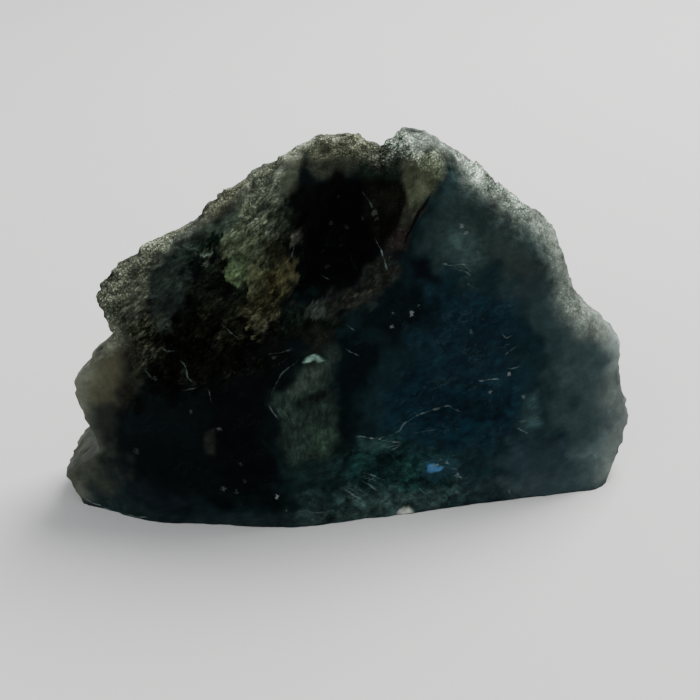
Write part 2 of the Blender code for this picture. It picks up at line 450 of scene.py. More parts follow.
# %% A zone's mask, and the broken corner
PUSH = (0.7, 0.5, 0.35)  # how far each size of noise moves an edge, times its softness
SNAP = 0.9  # share of the way to the middle of a point's own plane
FARTHEST, FLATTEST = 1e9, 1e-9  # stand-ins for endless, and for a side that lies level
snap_x = snap_z = 0.0


def patch(corners, soft, edge=1.0):
    """1 inside a polygon and 0 outside: an s-curve of the distance to its sides, in or out."""
    corners = np.array(corners, float)
    at_x = x + snap_x + soft * (PUSH[0] * broad_x + PUSH[1] * mid_x + PUSH[2] * fine_x)
    at_z = z + snap_z + soft * (PUSH[0] * broad_z + PUSH[1] * mid_z + PUSH[2] * fine_z)
    nearest = np.full(len(x), FARTHEST)
    within = np.zeros(len(x), bool)
    for (ax, az), (bx, bz) in zip(corners, np.roll(corners, -1, axis=0)):
        along_x, along_z = bx - ax, bz - az
        share = ((at_x - ax) * along_x + (at_z - az) * along_z) / (along_x**2 + along_z**2)
        share = np.clip(share, 0, 1)
        gap = np.hypot(at_x - ax - share * along_x, at_z - az - share * along_z)
        nearest = np.minimum(nearest, gap)
        crosses = (az > at_z) != (bz > at_z)
        safe = along_z if abs(along_z) > FLATTEST else FLATTEST
        within ^= crosses & (at_x < ax + along_x * (at_z - az) / safe)
    return ramp(np.where(within, nearest, -nearest), -edge * soft, edge * soft)


BROKEN = [
    (-53.5, 48.5), (-46, 60.5), (-34.5, 70), (-20, 79.5), (-13, 81.5), (-11, 78.5), (-11.5, 57.5),
    (-1, 55), (9.5, 62), (5, 53), (-3.5, 50), (-20, 45.5), (-33.5, 32.5), (-49, 31.5),
]  # fmt: skip
broken = patch(BROKEN, 4.0) * front
snap_x = SNAP * broken * (leap_long * cos_lean - leap_wide * sin_lean)
snap_z = SNAP * broken * (leap_long * sin_lean + leap_wide * cos_lean)
print("broken corner over", round(100 * float(broken.mean())), "% of the surface")

# %% [markdown]
# ## Painting the face
#
# The zones are laid over each other in order, from the broad dark ones to the small pale ones.
# Two kinds of light come through the stone: a blue-green one in the thick middle, and a grey or
# olive one at the thin ends, which is painted light, laid into the colour. Each zone has a colour
# and a fourth number, its grain, from 0 for a glassy split to 1 for a sugary crust. The colours
# are linear, where dark ones are tiny, so they are listed in thousandths.

# %% The broad zones: softness in mm, colour, grain, and corners across and up in mm
FACES = {
    "right_face": (4, (4.2, 13, 15.5), 0.1, [(10, 62), (15, 70), (20, 81), (30, 77), (42, 68),
     (52, 55), (62, 40), (70, 29), (73, 10), (66, -3), (30, 0), (-4, -1), (-6, 14), (-2, 23),
     (-3, 36), (-2, 47), (5, 56)]),
    # blue: the dark body with a painted blue sheen, the flash that labradorite shows at some angles
    "blue": (5, (4.3, 15.5, 22), 0.15, [(16, 56), (28, 58), (35, 51), (40, 41), (41, 27), (39, 13),
     (24, 15), (12, 19), (11, 32), (14, 46)]),
    "deep_blue": (4, (2.4, 11.5, 17.5), 0.15, [(11, 32), (19, 37), (31, 31), (36, 24), (33, 14),
     (24, 15), (14, 21), (9, 26)]),
    "under_granite": (3, (1.5, 4.2, 5.2), 0.15, [(0, 53), (8, 57), (16, 55), (17, 47), (12, 44),
     (2, 46)]),
    "dark_gap": (2.5, (0.9, 3.6, 4.6), 0.15, [(-2.5, 44), (3, 45.5), (6, 42), (5.5, 33.5),
     (0.5, 31.5), (-2, 20.5), (-4, 21), (-4, 31.5)]),
    "veil": (3.5, (15, 28, 26), 0.12, [(18, 74), (21, 79), (29, 76), (40, 67), (43, 62), (38, 58),
     (30, 60), (27, 59), (21, 61), (15, 65)]),
    "pale_veil": (2.5, (32, 56, 51), 0.2, [(24, 68.5), (27, 69.5), (30.5, 66), (31, 61.5),
     (27, 60.5), (24.5, 64)]),
    "grey_corner": (3, (22, 33, 29), 0.05, [(34, 67), (44, 60), (46, 52), (40, 53), (35, 60)]),
    "corner_fade": (3, (16, 28, 30), 0, [(35, 54), (47, 54), (48, 47), (41, 47), (36, 49)]),
    # right_end and right_corner: the thin right end's own grey, lightened by painted light that glows
    # through it
    "right_end": (5, (21, 35, 35), 0, [(49, 54), (57, 42), (63, 35), (70, 26), (73, 10), (67, -3),
     (53, -3), (49, 1), (52, 14), (51, 24), (49, 37)]),
    "right_corner": (4, (54, 78, 78), 0, [(53, 8), (60, 11), (67, 11), (69, 0), (61, -3), (51, -2),
     (50, 5)]),
    "right_patch": (1.6, (24, 48, 50), 0.3, [(41, 27), (45.5, 27.5), (47, 18.5), (43, 16.5),
     (40.5, 20.5)]),
    "lower_right": (4, (20, 38, 46), 0.05, [(37, 16), (47, 15), (53, 11), (57, 0), (52, -3),
     (39, 0), (39, 8)]),
    "foot_teal": (3, (6.3, 21, 20), 0.4, [(-5, 15), (0, 20), (12, 20), (17, 15), (26, 10), (27, -1),
     (0, -1), (-12, 0), (-6, 9)]),
    "foot_gap": (1.2, (1.2, 5, 5), 0.1, [(-3, 21), (-0.5, 20.5), (0, 11.5), (-2.5, 11)]),
    "foot_patch": (0.9, (18, 46, 43), 0.15, [(1.5, 21), (6.5, 20), (10.5, 18.5), (9.5, 17), (5, 17),
     (2, 18)]),
    "left_foot": (3.5, (5.5, 14.5, 16), 0.05, [(-72, -6), (-67, 3), (-58, 8), (-51, 7), (-36, 4),
     (-5, 5), (-5, -3), (-49, -3), (-63, -2)]),
    "foot_edge": (2, (13, 25, 28), 0.2, [(25.5, 6), (37, 5), (39.5, -1.5), (26, -1.5)]),
    # bottom_left_bounce and bottom_mid_bounce: a lighter band along the bottom edge, painted light
    # that the table throws back into the lower face
    "bottom_left_bounce": (2.2, (13, 21, 22), 0.2, [(-65.5, 3), (-53.5, 4.5), (-41, 2.5), (-26.5, 2),
     (-12, 4.5), (-12, -2), (-41, -2), (-61.5, -3)]),
    "bottom_mid_bounce": (2, (25, 46, 42), 0.4, [(-13, 4.5), (-2.5, 3.5), (7.5, 6), (22, 5), (24.5, -1.5),
     (7.5, -1.5), (-12, -1)]),
    "bottom_right": (2.2, (32, 52, 56), 0.05, [(36, 4.5), (47, 5), (57.5, 5.5), (60, -1.5),
     (37.5, -2.5)]),
    "slate": (3.5, (7, 11.5, 14), 0.05, [(-55, 12), (-48, 10), (-38, 7), (-36, 2), (-54, -1),
     (-60, 4)]),
    "left_teal": (4, (0.8, 3.1, 3.6), 0, [(-53, 30), (-42, 33), (-34, 26), (-34, 13), (-45, 11),
     (-55, 15)]),
    "left_black": (4.5, (0.4, 1.1, 1.6), 0.1, [(-34, 37), (-18, 46), (-20, 32), (-19, 23),
     (-18, 10), (-31, 8), (-34, 20)]),
    # low_lobe, left_lobe and lobe_light: the thin left lobes' own grey-olive, lightened by painted
    # light that glows through them
    "low_lobe": (4, (36, 42, 32), 0.1, [(-74, 7), (-68, 17), (-61, 21), (-57, 20), (-58, 12),
     (-62, 5), (-67, 0)]),
    "left_lobe": (2.2, (40, 41, 27), 0, [(-69.5, 26.5), (-66, 37), (-57, 45), (-52, 43),
     (-50, 37.5), (-50.5, 33.5), (-53.5, 29), (-58.5, 26), (-61.5, 23.5), (-66, 22.5)]),
    "lobe_foot": (2, (14, 17, 14), 0.05, [(-63, 26.5), (-55.5, 28.5), (-54, 26), (-55.5, 22),
     (-59.5, 19.5), (-63.5, 22)]),
    "lobe_light": (3, (64, 64, 40), 0, [(-68, 28), (-66, 36), (-59, 42), (-56, 41), (-56, 36),
     (-58, 31), (-63, 28)]),
    "notch_shade": (1.6, (13, 14, 10.5), 0.05, [(-54, 42.5), (-51.5, 41.5), (-49.5, 37.5),
     (-50, 33), (-53.5, 29.5), (-55, 31.5), (-53.5, 38)]),
    "brown": (5, (3.8, 3.9, 2.7), 0.7, [(-54, 46), (-37, 57), (-25, 56), (-13, 55), (-13, 47),
     (-23, 44), (-31, 39), (-35, 32), (-48, 31), (-51, 37)]),
    "brown_glow": (3, (24, 27, 16), 0.7, [(-35, 57), (-26, 59), (-24, 54), (-28, 50), (-34, 51)]),
    "shoulder": (2.4, (80, 90, 66), 0.85, [(-61.5, 52), (-52.5, 61), (-43, 65.5), (-40, 63.5),
     (-43.5, 61), (-45.5, 57), (-48, 53), (-51, 49.5), (-53.5, 43), (-57, 42.5), (-59, 47)]),
    "speckled": (2, (24, 26, 18), 0.9, [(-53, 47), (-47, 51.5), (-42, 50.5), (-43, 44.5), (-47, 42),
     (-49, 37.5), (-50.5, 35), (-52, 38), (-52.5, 42.5)]),
    "top_field": (4, (6, 8, 6), 0.6, [(-36, 65), (-29, 73), (-19, 77), (-11, 79), (-10, 71),
     (-14, 63), (-20, 55), (-28, 54), (-34, 56)]),
}  # fmt: skip

# %% The small ones, laid over them
PATCHES = {
    "shoulder_shade": (2, (16, 23, 19), 0.15, [(-45, 60.5), (-40, 63.5), (-37.5, 62.5), (-37, 57.5),
     (-38.5, 52.5), (-43, 47.5), (-45.5, 55)]),
    "upper_shade": (2.2, (25, 36, 27), 0.15, [(-35.5, 68), (-33, 71), (-28.5, 72.5), (-25, 72),
     (-26, 68.5), (-32.5, 66.5), (-35, 67)]),
    "ledge_dark": (1.2, (14, 22, 17), 0.4, [(-40, 64), (-35, 66.5), (-32.5, 66.5), (-34, 64),
     (-36.5, 62.5)]),
    "green_pits": (0.8, (3.5, 8.5, 5.5), 0.6, [(-33, 66), (-31, 66.5), (-30, 64.5), (-32.5, 63.5)]),
    "pale_grit": (1, (44, 60, 46), 0.9, [(-33.5, 64.5), (-29, 65), (-28.5, 63), (-32.5, 61.5)]),
    "vein_top": (2, (92, 106, 78), 0.8, [(-26.5, 75), (-24, 77.5), (-20, 79.5), (-15.5, 81.5),
     (-14, 80), (-15, 76), (-18.5, 75.5), (-22, 73), (-25, 73)]),
    "vein_low": (1.4, (150, 180, 124), 0.8, [(-25, 73.5), (-21, 75), (-18.5, 73), (-17, 69.5),
     (-18.5, 67), (-21.5, 67.5), (-24.5, 69), (-25.5, 72)]),
    "teal_gap": (1.8, (24, 31, 21), 0.5, [(-19, 74), (-15.5, 75), (-14, 74), (-15, 69), (-18, 69)]),
    "green_haze": (2, (66, 84, 50), 0.4, [(-27, 68), (-24.5, 69), (-21, 68), (-18.5, 65),
     (-20.5, 62.5), (-24, 61.5), (-27.5, 63.5)]),
    "green_streak": (1.3, (66, 98, 48), 0.4, [(-27.5, 63.5), (-25.5, 64), (-24.5, 59),
     (-25.5, 57.5), (-27.5, 60)]),
    "olive": (2, (62, 72, 39), 0.5, [(-24, 62), (-21, 63.5), (-19.5, 60), (-20, 55), (-22, 54),
     (-23, 58)]),
    "olive_right": (1.8, (26, 29, 16), 0.6, [(-19, 66), (-15.5, 68), (-15.5, 63.5), (-19, 62.5)]),
    "stain": (1.4, (42, 41, 20), 0.6, [(-17, 62), (-15, 63), (-12.5, 63), (-12, 59.5),
     (-14.5, 57.5), (-17.5, 58.5)]),
    "stain_low": (1.8, (54, 53, 25), 0.6, [(-20.5, 59), (-14, 58.5), (-13, 55), (-16.5, 54),
     (-21, 54.5)]),
    "grit": (2, (44, 44, 24), 0.8, [(-26, 55), (-21, 56.5), (-14.5, 56.5), (-13.5, 54.5),
     (-17, 51.5), (-20, 50.5), (-25, 51.5)]),
    "grit_low": (1, (56, 60, 38), 0.7, [(-23.5, 49), (-21, 50), (-19, 48.5), (-20.5, 46),
     (-23.5, 46.5)]),
    "facet": (0.8, (58, 61, 38), 0.3, [(-24.5, 48), (-23, 50), (-20, 51.5), (-17.5, 50.5),
     (-19, 48.5), (-22, 48)]),
    "dark_moss": (2.2, (4, 7, 5), 0.6, [(-14.5, 51.5), (-10.5, 53.5), (-4, 52), (-1, 48.5),
     (-7, 46), (-13.5, 46)]),
    "moss_grey": (2, (10, 12, 9.5), 0.5, [(-12, 48.5), (-6.5, 48.5), (-3.5, 45.5), (-5.5, 42.5),
     (-10.5, 43)]),
    "teal_facet": (1, (23, 29, 25), 0.4, [(-9.5, 54.5), (-8, 55.5), (-5, 55), (-4.5, 52),
     (-8, 51)]),
    # Painted shade in the dark hollow at the foot of the crack.
    "crack_foot_shade": (2, (1.4, 2.4, 4.4), 0.1, [(12, 62), (17, 62.5), (19.5, 61), (19, 57), (14, 56)]),
    "granite": (1.8, (20, 21.5, 17.5), 0.6, [(-3.5, 55.5), (2, 56.5), (9.5, 62), (10.5, 58.5),
     (5, 53.5), (0, 51.5), (-3.5, 51.5)]),
    "core": (2.6, (0.3, 0.3, 0.3), 0.15, [(-11, 78.5), (-7, 80.5), (-1, 82), (10, 80.5), (11, 76),
     (11, 69.5), (8, 66), (4, 62.5), (2.5, 57.5), (-1, 56.5), (-6.5, 56), (-11.5, 56.5),
     (-12.5, 62), (-11.5, 67.5), (-13.5, 72.5)]),
    "core_brown": (2, (5.5, 5.5, 4.2), 0.6, [(4, 79), (10.5, 79), (11.5, 72.5), (9, 67), (5.5, 65),
     (3.5, 71)]),
    "pale_facet": (1.2, (16, 18.5, 15), 0.7, [(2.5, 58), (3, 61.5), (7, 63.5), (9.5, 63),
     (7.5, 60.5), (4.5, 58)]),
    "sill_dark": (1.5, (30, 36, 25), 0.4, [(-10, 83), (-3.5, 84.5), (3, 84.5), (2.5, 82.5),
     (-1, 81.5), (-7, 81)]),
    "core_green": (1.6, (8, 13, 9), 0.6, [(2, 83.5), (5, 85.5), (10.5, 84.5), (11.5, 83),
     (11, 80.5), (4, 80)]),
    "crown_beige": (1.8, (78, 82, 56), 0.8, [(-10.5, 84), (-8, 85.5), (-3.5, 87.5), (3, 87),
     (3.5, 86), (0.5, 84.5), (-4.5, 83.5), (-9.5, 83)]),
    "strip": (1, (48, 56, 35), 0.35, [(11.5, 83.5), (20.5, 81), (19.5, 78.5), (17.5, 75.5),
     (15.5, 73), (12.5, 73), (11.5, 78)]),
    "strip_low": (1, (30, 32, 24), 0.5, [(11.5, 74), (16.5, 73.5), (14, 70), (12, 67), (10.5, 68),
     (11, 72)]),
    "rosy_strip": (1, (21, 17.5, 15.5), 0.6, [(8, 67.5), (11.5, 70), (13, 67.5), (12, 64.5),
     (7.5, 64)]),
    "pale_strip": (1.5, (96, 110, 70), 0.8, [(11, 86), (21, 83), (21, 80.5), (11.5, 83)]),
    "saddle": (1.4, (44, 52, 36), 0.1, [(-14.5, 77), (-15, 79), (-13.5, 82), (-11.5, 83),
     (-10.5, 82.5), (-11, 80.5), (-12.5, 76.5)]),
    "light_bump": (0.9, (34, 35, 28), 0.6, [(-15.5, 69), (-13.5, 70.5), (-12, 69.5), (-11, 67.5),
     (-14, 67.5)]),
    "ledge_halo": (1.2, (14, 22, 19), 0.4, [(-6.5, 44), (-3, 43.5), (-1.5, 40), (-3.5, 39),
     (-5.5, 40)]),
    "pale_blob": (0.9, (13, 14.5, 12.5), 0.2, [(-34.5, 20.5), (-33.5, 24), (-31.5, 24.5),
     (-31.5, 20.5), (-32, 18.5), (-34, 19)]),
    "flake_tail": (4, (6, 16, 15), 0.25, [(-16.5, 19), (-3.5, 17), (-1, 6.5), (-14.5, 7)]),
    "flake": (2, (13.5, 23.5, 18.5), 0.2, [(-19.5, 31.5), (-18.5, 34.5), (-17, 37), (-14, 39.5),
     (-11, 42), (-7, 42), (-4, 39.5), (-4, 31), (-4.5, 21), (-5, 16.5), (-12, 17), (-16, 21),
     (-15.5, 26.5), (-17, 28)]),
    "flake_upper": (1.5, (25, 37, 30), 0.15, [(-15.5, 35), (-13, 39), (-9.5, 41), (-6.5, 40),
     (-6.5, 37.5), (-9.5, 35), (-12.5, 33), (-15, 33)]),
    "flake_gap": (1, (6, 10, 8.5), 0.3, [(-13.5, 31), (-10, 32.5), (-6.5, 34.5), (-4.5, 33),
     (-7.5, 30.5), (-11.5, 29)]),
    # A painted highlight on the flake's top ledge, where it catches the light from above.
    "flake_ledge_highlight": (0.3, (200, 330, 265), 0.2, [(-11, 41), (-10, 42), (-8.5, 42.5), (-7.5, 42),
     (-6, 40.5), (-7, 40.5), (-8, 41.5), (-8.5, 41.5), (-9.5, 41)]),
    # flash_glow and blue_flash: a painted flash, the bright blue sheen of labradorite at one angle,
    # with a painted glow round it
    "flash_glow": (1.2, (8, 25, 31), 0.1, [(18, 9), (19, 13), (23, 13.5), (27.5, 10.5), (27, 7.5),
     (20.5, 7)]),
    "blue_flash": (0.25, (42, 112, 215), 0, [(19, 10), (19, 11.5), (20, 12), (23, 10.5), (22, 10)]),
    "pale_chip": (0.5, (400, 420, 370), 0.3, [(11.5, 0), (12, 1), (13, 1.5), (14.5, 1.5),
     (15.5, 0.5), (15.5, -0.5), (13.5, -1)]),
    "foot_light": (1.2, (24, 50, 46), 0.3, [(-3, 8.5), (0, 9.5), (3, 7), (3, 3), (-1.5, 2.5),
     (-4.5, 6)]),
    "right_mid": (3, (17, 31, 33), 0, [(41, 50), (46, 50.5), (51.5, 42), (51, 36.5), (47, 37),
     (42, 44)]),
    "foot_glow_right": (1.4, (20, 42, 40), 0.5, [(22, 5.5), (26.5, 6.5), (29.5, 4), (27.5, 1.5),
     (23.5, 1.5)]),
    "foot_left_glow": (1.4, (18, 36, 34), 0.5, [(-12, 9.5), (-7.5, 10), (-5.5, 7), (-8, 5),
     (-12, 6)]),
    "flake_foot": (2, (26, 50, 34), 0.3, [(-8.5, 22.5), (-4.5, 23), (-4, 19.5), (-5, 17),
     (-8, 18)]),
    "foot_green": (2, (13, 24, 23), 0.2, [(-62.5, -0.5), (-53.5, 4.5), (-43.5, 2), (-46, -2),
     (-62, -4.5)]),
}  # fmt: skip

BODY = (0.0014, 0.0042, 0.0048, 0.1)
THOUSANDTHS = (0.001, 0.001, 0.001, 1.0)
paint = np.tile(BODY, (len(x), 1))
for table, edge in ((FACES, 1.0), (PATCHES, 0.7)):
    for soft, color, grain, corners in table.values():
        layer = np.array((*color, grain)) * THOUSANDTHS
        paint += (layer - paint) * patch(corners, soft, edge)[:, None]
print(len(FACES) + len(PATCHES), "zones on the front")

# %% [markdown]
# ## The lit rim
#
# Near its outline the stone is thin, so light leaks in; that glow is painted light, laid into the
# colour. Above the left and right shoulders it carries a sugary crust, its own colour. Both are
# one soft band. It changes on the way round, so it is listed by the angle from the middle of the
# stone, from the right end over the crown to the left end. Five tints are enough, and each stop
# says which one it has and how light it is.

# %% Rim: angle in degrees, reach in mm, lightness in thousandths, tint and grain
RIM_TINTS = np.array([
    (0.83, 1.00, 0.91),  # cloud, the grey-green light in the right end
    (0.86, 1.00, 0.85),  # sugar, the crust of the right shoulder and the crown
    (0.93, 1.00, 0.76),  # olive, the crust of the left slope
    (0.97, 1.00, 0.69),  # moss, the brownest spots
    (0.66, 1.00, 1.05),  # shade, at both ends of the foot
])
CLOUD, SUGAR, OLIVE, MOSS, SHADE = range(len(RIM_TINTS))
RIM = [
    (-42, 2, 32, SHADE, 0.05), (-33, 3.2, 145, CLOUD, 0), (-25, 4.5, 130, CLOUD, 0),
    (-18, 6, 120, CLOUD, 0), (-11, 4.2, 89, CLOUD, 0), (-6, 2.8, 160, CLOUD, 0),
    (-2, 4.6, 220, CLOUD, 0.05), (2, 5.2, 225, SUGAR, 0.3), (9, 4.4, 265, SUGAR, 0.7),
    (17, 3, 170, SUGAR, 0.5), (27, 3.6, 170, SUGAR, 0.6), (35, 4, 230, SUGAR, 0.8),
    (42, 3.8, 365, SUGAR, 0.95), (48, 2.7, 420, SUGAR, 1), (53, 2.9, 330, SUGAR, 1),
    (59, 3.3, 520, SUGAR, 1), (64, 4.6, 525, SUGAR, 1), (69, 5.4, 490, SUGAR, 1),
    (74, 3.8, 365, SUGAR, 1), (78, 1.2, 100, SUGAR, 1), (81, 0.9, 42, OLIVE, 1),
    (85, 0.6, 36, OLIVE, 0.95), (93, 1.3, 88, MOSS, 0.9), (99, 1.7, 325, OLIVE, 0.9),
    (104, 1.7, 250, OLIVE, 0.9), (109, 2.2, 230, OLIVE, 0.9), (114, 1.8, 215, OLIVE, 0.9),
    (119, 1.2, 170, OLIVE, 0.9), (126, 2.2, 120, MOSS, 0.9), (134, 1.3, 110, OLIVE, 0.7),
    (141, 1.3, 89, SUGAR, 0.7), (147, 2, 170, OLIVE, 0.9), (153, 2.2, 205, OLIVE, 0.9),
    (160, 2.8, 115, OLIVE, 0.9), (168, 3.6, 120, OLIVE, 0.9), (173, 3, 125, OLIVE, 0.6),
    (178, 1.5, 57, MOSS, 0.1), (184, 3.4, 130, OLIVE, 0), (189, 3.6, 120, OLIVE, 0),
    (195, 2.4, 64, SUGAR, 0), (205, 3, 83, OLIVE, 0.1), (214, 2.8, 88, SUGAR, 0.05),
    (224, 1.5, 22, SHADE, 0.05),
]  # fmt: skip
RIM_FALL = 2.4  # how square the band's profile is

angle = np.degrees(np.arctan2(z - MIDDLE[1], x - MIDDLE[0])) + 1.5 * broad_x
angle += (1 - front) * (7.0 * mid_x + 4.0 * fine_z)
stops, reaches, lights, tint_numbers, grain_stops = np.array(RIM).T
rim_colors = RIM_TINTS[tint_numbers.astype(int)] * lights[:, None]
rim_rows = np.column_stack([reaches, rim_colors, grain_stops])
rim_reach, *rim_paint = (np.interp(angle, stops, row, period=360) for row in rim_rows.T)
rim_paint = np.stack(rim_paint, axis=-1) * THOUSANDTHS
into_rim = np.clip(inside_rim + rim_reach * (0.22 * broad_z + 0.14 * fine_z), 0, None)
lit = np.exp(-((into_rim / rim_reach) ** RIM_FALL)) * ramp(z, -1.0, 3.0)
# The band lays on the crust's own colour and the painted glow of light leaking in at the thin edge.
paint += (rim_paint - paint) * np.stack([lit, lit, lit, np.sqrt(lit)], axis=-1)
print("rim lit over", round(100 * float(lit.mean())), "% of the surface")

# %% [markdown]
# ## The colours of the back
#
# Nothing on the back has to sit in one exact place, so its colours come from wide noise instead of
# drawn zones: teal and olive clouds over a dark body, a paler edge where the stone is thin, which
# is painted light that glows through it, and crust, which is likelier higher up. Each broken plane
# shifts the noise by its own number, so that some of the clouds end at the edge of a plane.

# %% Clouds, pale edges and crust
BACK_DARK = np.array((0.012, 0.018, 0.017, 0.25))
BACK_TEAL = np.array((0.013, 0.028, 0.029, 0.15))
BACK_OLIVE = np.array((0.060, 0.066, 0.046, 0.45))
BACK_CRUST = np.array((0.150, 0.160, 0.130, 1.0))
# Painted light: the glow through the thin edges of the back, laid on where the stone is thin.
BACK_THIN_GLOW = np.array((0.095, 0.108, 0.090, 0.3))
back_paint = np.tile(BACK_DARK, (len(x), 1))
by_plane = 0.5 * (planes[2] - 0.5)
for layer, amount in (
    (BACK_TEAL, ramp(rough(base, 26.0, 71, 4) + by_plane, -0.2, 0.5)),
    (BACK_OLIVE, ramp(rough(base, 20.0, 75, 4) + by_plane, 0.1, 0.7)),
    (BACK_THIN_GLOW, 0.8 * thin),
    (BACK_CRUST, ramp(rough(base, 19.0, 79, 5) + by_plane + 0.5 * ramp(z, 40, 85), 0.35, 0.75)),
):
    back_paint += (layer - back_paint) * amount[:, None]
paint += (back_paint - paint) * back[:, None]
tint, grain = paint[:, :3], np.clip(paint[:, 3], 0, 1)
print("mean tint", tint.mean(axis=0).round(4), "mean grain", grain.mean().round(2))

# %% [markdown]
# ## Relief
#
# Flat planes alone look like cut glass. A real split steps down where a sheet of crystal tore
# off, the crust stands up in sugary grains, and the hidden back is broken in terraces. They could
# be cut with booleans, but hundreds of small cuts are slow and leave thin slivers. Here each is a
# height along the surface's own normal, and they add up.


# %% Torn steps and terraces
STEP_WAVE = 0.3  # millimetres that a torn step wavers for each unit of noise


def side_of(line, x_at, z_at):
    """The signed distance to a line of points: positive on its right, and how far along it is."""
    line = np.array(line)
    best = np.full(len(x_at), FARTHEST)
    signed = best.copy()
    along = np.zeros(len(x_at))
    for step, ((ax, az), (bx, bz)) in enumerate(zip(line[:-1], line[1:])):
        dx, dz = bx - ax, bz - az
        share = np.clip(((x_at - ax) * dx + (z_at - az) * dz) / (dx**2 + dz**2), 0, 1)
        gap_x, gap_z = x_at - ax - share * dx, z_at - az - share * dz
        gap = np.hypot(gap_x, gap_z)
        closer = gap < best
        best = np.where(closer, gap, best)
        signed = np.where(closer, np.where(dx * gap_z - dz * gap_x < 0, gap, -gap), signed)
        along = np.where(closer, (step + share) / (len(line) - 1), along)
    return signed, along


def torn_step(line, depth, fade):
    """Ground that drops by a depth just right of a line and climbs back over a distance."""
    signed, along = side_of(line, x + STEP_WAVE * fine_x, z + STEP_WAVE * fine_z)
    ends = ramp(along, 0.0, 0.12) * ramp(-along, -1.0, -0.8)
    return -depth * ramp(signed, -0.25, 0.35) * np.exp(-np.clip(signed, 0, None) / fade) * ends


def terraces(way, spacing, height, seed):
    """Broken steps: distance along a way, bent by noise, then turned into treads and risers."""
    run = (base @ np.array(way) + 5.0 * rough(base, 22.0, seed, 3)) / spacing
    tread = np.floor(run)
    return height * (ramp(run - tread, 0.0, 0.16) - (run - tread))


FRACTURE = [  # below the crown, from the top down
    (20.5, 79.5), (19.5, 78), (18.5, 75.5), (17.5, 74), (16, 72.5), (14.5, 69.5), (13, 67),
    (11.5, 64),
]  # fmt: skip
# LOBE and CREST are torn steps too, and COMBED, FLAKE and FACET are areas.
LOBE = [(-57, 47), (-52, 42), (-49.5, 36), (-50, 31), (-54, 27), (-61, 23)]
CREST = [
    (27.6, 24.2), (23.9, 25.6), (19.1, 25.7), (15.5, 24.9), (12.4, 22.7), (10.7, 20.9), (7, 20.6),
]  # fmt: skip
COMBED = [(-16, -2), (-14, 4), (-4, 8), (-2, 17), (8, 18), (24, 12), (32, 2), (26, -2)]
FLAKE = PATCHES["flake"][3]
FACET = PATCHES["facet"][3]
TEARS = ((FRACTURE, 1.2, 10.0), (LOBE, 1.0, 9.0), (CREST, 0.4, 3.0))  # depth, and how far it fades
RISES = ((FLAKE, 0.6, 0.6), (FACET, 0.8, 0.5))  # height and softness
tears = sum(torn_step(*tear) for tear in TEARS)
rises = sum(height * patch(corners, soft) for corners, height, soft in RISES)
print("torn steps down to", tears.min().round(2), "mm, and sheets up to", rises.max().round(2))

# %% Broken planes of three sizes, and slabs
# Where the ground is broken up, and where the big planes show faintly through the glassy foot.
rugged = np.maximum.reduce([broken, grain * (1 - 0.4 * back), 0.6 * back, 0.6 * rim])
combed = patch(COMBED, 4.0) * front


def facets(cells):
    """Broken planes, each tilted its own way: their height and their number."""
    first, second, number, away = cells
    turn = 2 * math.pi * number
    slope = away[:, 0] * np.cos(turn) + away[:, 2] * np.sin(turn)
    return (slope + 0.5 * (number - 0.5)) * ramp(second - first, 0.0, 0.12), number


big, big_number = facets(grains(bent, 5.5, 25))
mid, mid_number = facets(planes)
small, small_number = facets(grains(drawn, 1.1, 21))
slabs, slab_number = facets(grains(bent, 17.0, 61))
crags = 1 - 2 * np.abs(rough(base, 5.5, 31, 4, 0.6))
print("broken ground over", round(100 * float(rugged.mean())), "% of the surface")

# %% Relief in millimetres
TERRACES = (  # where, which way they climb, spacing, height and seed
    (front, (-0.55, 0.0, 0.83), 9.0, 0.20, 11),
    (front, (0.92, 0.0, 0.4), 13.0, 0.16, 12),
    (broken, (-0.7, 0.0, 0.7), 7.0, 0.6, 16),
    (back + 0.35 * rim, (0.35, 0.2, 0.9), 13.0, 1.1, 13),
    (back, (-0.8, 0.1, 0.55), 8.0, 0.6, 14),
)

relief = 0.40 * rough(base, 24.0, 1, 3) + 0.10 * rough(base, 5.0, 5, 3)
relief += front * (tears + rises)
for where, way, spacing, height, seed in TERRACES:
    relief += where * terraces(way, spacing, height, seed)
relief += rugged * (0.30 * (crags - 0.4) + 1.0 * big + 0.55 * mid)
relief += 0.35 * (1 - rugged) * slabs
relief += back * 0.35 * rough(base, 4.0, 15)
relief += grain**2 * (0.40 * small + 0.20 * rough(base, 3.0, 29))

surface = base + normals * relief[:, None]
surface[:, 2] = np.maximum(surface[:, 2], 0.0)
print("relief from", relief.min().round(2), "to", relief.max().round(2), "mm")

# %% Each broken plane also has its own tone, and so do the broad slabs of the glassy face
TONE_CONTRAST = 1.6
tone = rugged * (0.50 * (big_number - 0.5) + 0.60 * (mid_number - 0.5))
tone += rugged * grain * 0.50 * (small_number - 0.5)
tone += (1 - rugged) * 0.30 * (slab_number - 0.5)
tone += combed * (0.20 * (big_number - 0.5) + 0.25 * (mid_number - 0.5))
shade = np.exp(TONE_CONTRAST * tone)
tint = tint * shade[:, None]
print("shades from", shade.min().round(2), "to", shade.max().round(2), "times as light")
